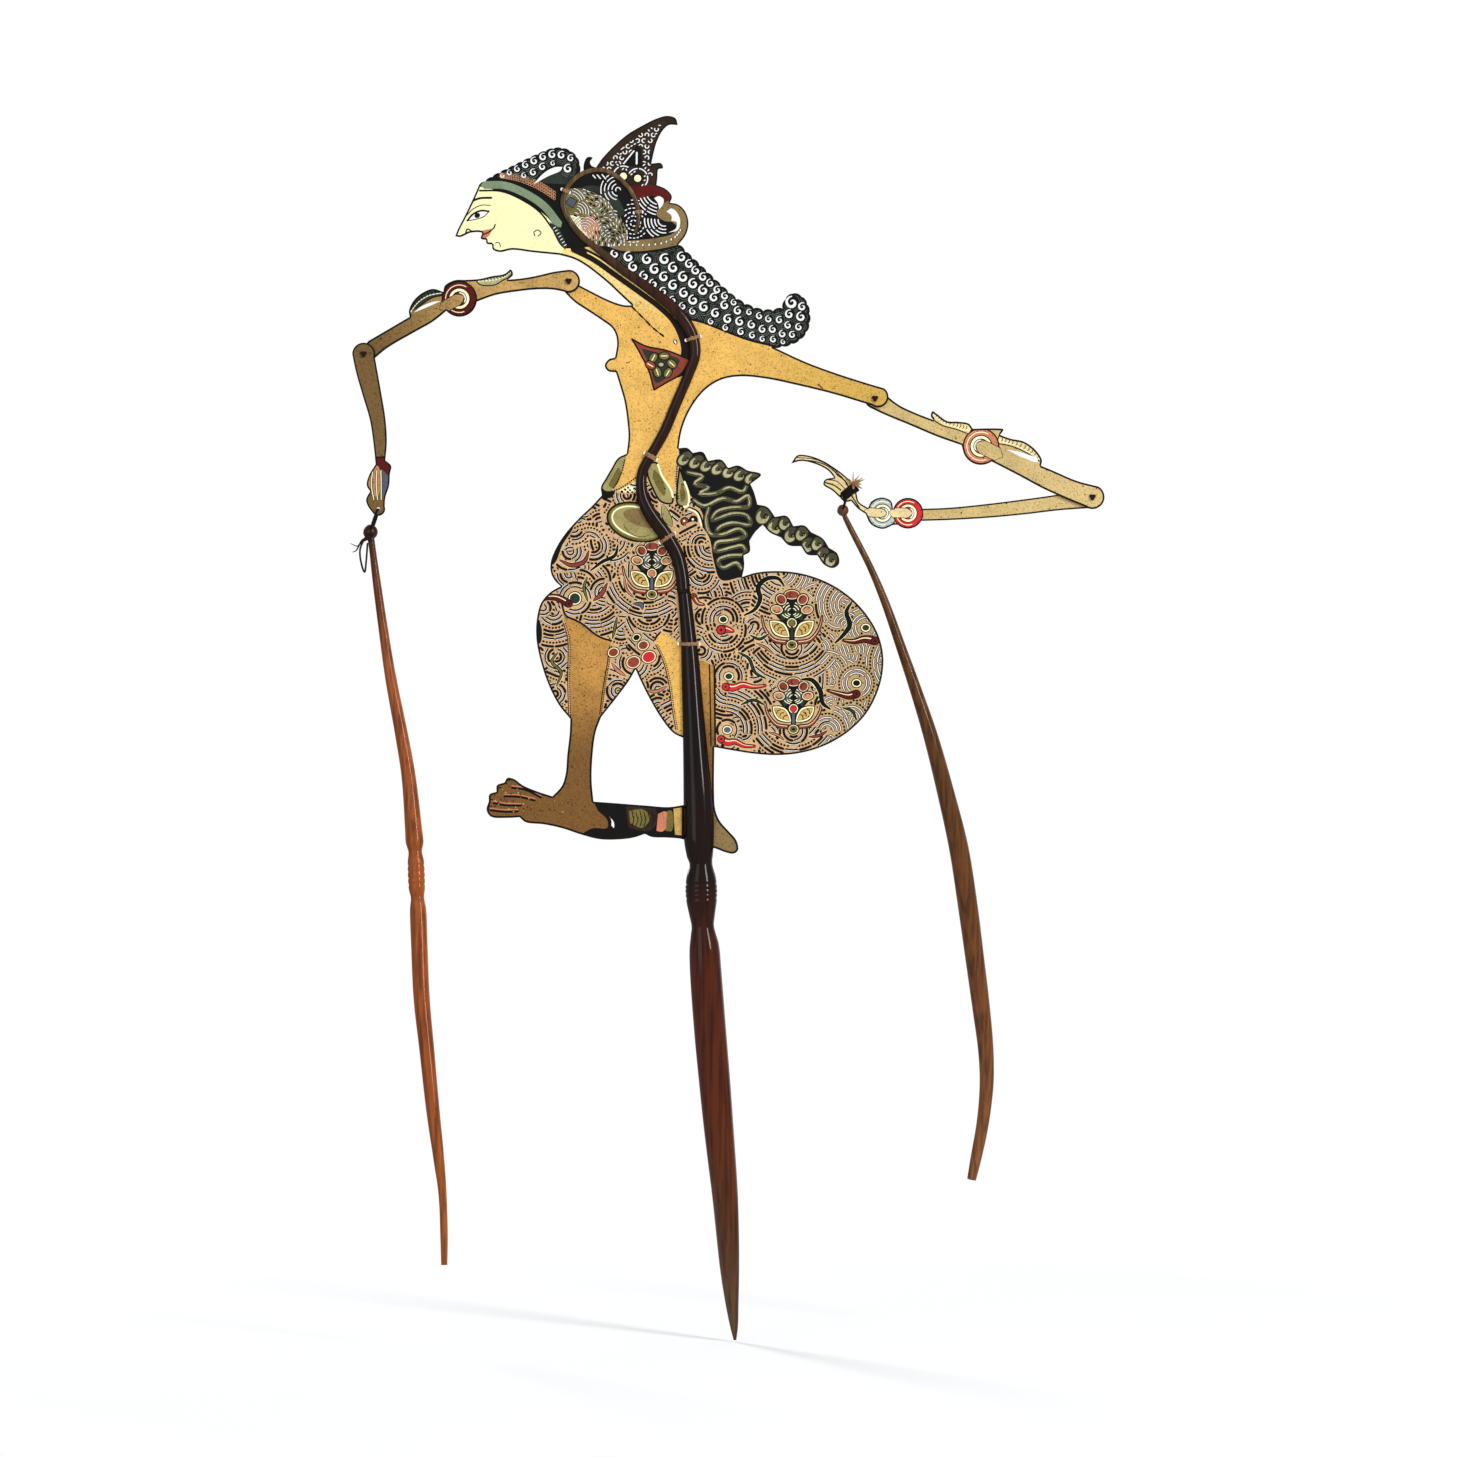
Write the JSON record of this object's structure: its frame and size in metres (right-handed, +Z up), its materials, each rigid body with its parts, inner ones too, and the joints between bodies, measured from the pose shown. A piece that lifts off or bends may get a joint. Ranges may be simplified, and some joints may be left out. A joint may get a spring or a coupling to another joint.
{
  "type": "leather rod puppet",
  "caption": "Flat pierced leather puppet held in a split horn rod, with jointed arms moved by two horn rods tied to its hands.",
  "frame": {"origin": "point of the spike at the bottom of the main rod, in the middle of the hide's thickness", "axes": "+Z up along the height of the puppet, +X towards the raised rear arm, +Y out of the hide's back; the painted side faces -Y and the face looks towards -X"},
  "size_m": [0.4887, 0.1016, 0.7957],
  "materials": {
    "gilt_hide": "gilded and painted rawhide, satin",
    "dark_horn": "polished buffalo horn",
    "amber_horn": "polished translucent horn",
    "brown_horn": "polished horn",
    "pale_thread": "twisted cotton, matt",
    "black_thread": "waxed cotton, matt",
    "thong": "knotted hide strip, matt"
  },
  "bodies": {
    "figure": {"figure_hide": "gilt_hide", "main_rod": "dark_horn", "front_tine": "dark_horn", "back_tine": "dark_horn", "tie_cap_back": "pale_thread", "tie_cap_front": "pale_thread", "tie_shoulder": "pale_thread", "tie_waist": "pale_thread", "tie_hip": "pale_thread", "tie_thigh": "pale_thread", "front_shoulder_peg": "thong", "rear_shoulder_peg": "thong"},
    "front_upper_arm": {"front_upper_arm": "gilt_hide", "front_elbow_peg": "thong"},
    "front_forearm": {"front_forearm": "gilt_hide"},
    "front_hand_loop": {"front_hand_loop": "black_thread"},
    "front_arm_rod": {"front_arm_rod": "amber_horn"},
    "rear_upper_arm": {"rear_upper_arm": "gilt_hide", "rear_elbow_peg": "thong"},
    "rear_forearm": {"rear_forearm": "gilt_hide"},
    "rear_hand_loop": {"rear_hand_loop": "black_thread"},
    "rear_arm_rod": {"rear_arm_rod": "brown_horn"}
  },
  "joints": [
    {"name": "front_shoulder", "type": "hinge", "parent": "figure", "child": "front_upper_arm", "pos_m": [-0.108, -0.001, 0.688], "axis": [0, -1, 0], "range_deg": [-72, 20]},
    {"name": "front_elbow", "type": "hinge", "parent": "front_upper_arm", "child": "front_forearm", "pos_m": [-0.241, -0.003, 0.6405], "axis": [0, -1, 0], "range_deg": [-45, 60]},
    {"name": "front_rod_swing", "type": "hinge", "parent": "front_forearm", "child": "front_hand_loop", "pos_m": [-0.2315, -0.004, 0.54], "axis": [0, -1, 0], "range_deg": [-60, 60]},
    {"name": "front_rod_lean", "type": "hinge", "parent": "front_hand_loop", "child": "front_arm_rod", "pos_m": [-0.23405, -0.004, 0.5325], "axis": [-0.9468, 0, 0.3219], "range_deg": [0, 50]},
    {"name": "rear_shoulder", "type": "hinge", "parent": "figure", "child": "rear_upper_arm", "pos_m": [0.091, 0.001, 0.612], "axis": [0, -1, 0], "range_deg": [-35, 70]},
    {"name": "rear_elbow", "type": "hinge", "parent": "rear_upper_arm", "child": "rear_forearm", "pos_m": [0.2325, 0.003, 0.548], "axis": [0, -1, 0], "range_deg": [-8, 110]},
    {"name": "rear_rod_swing", "type": "hinge", "parent": "rear_forearm", "child": "rear_hand_loop", "pos_m": [0.073, 0.004, 0.55], "axis": [0, -1, 0], "range_deg": [-50, 18]},
    {"name": "rear_rod_lean", "type": "hinge", "parent": "rear_hand_loop", "child": "rear_arm_rod", "pos_m": [0.0716, 0.004, 0.54475], "axis": [0.9662, 0, -0.2577], "range_deg": [0, 50]}
  ]
}
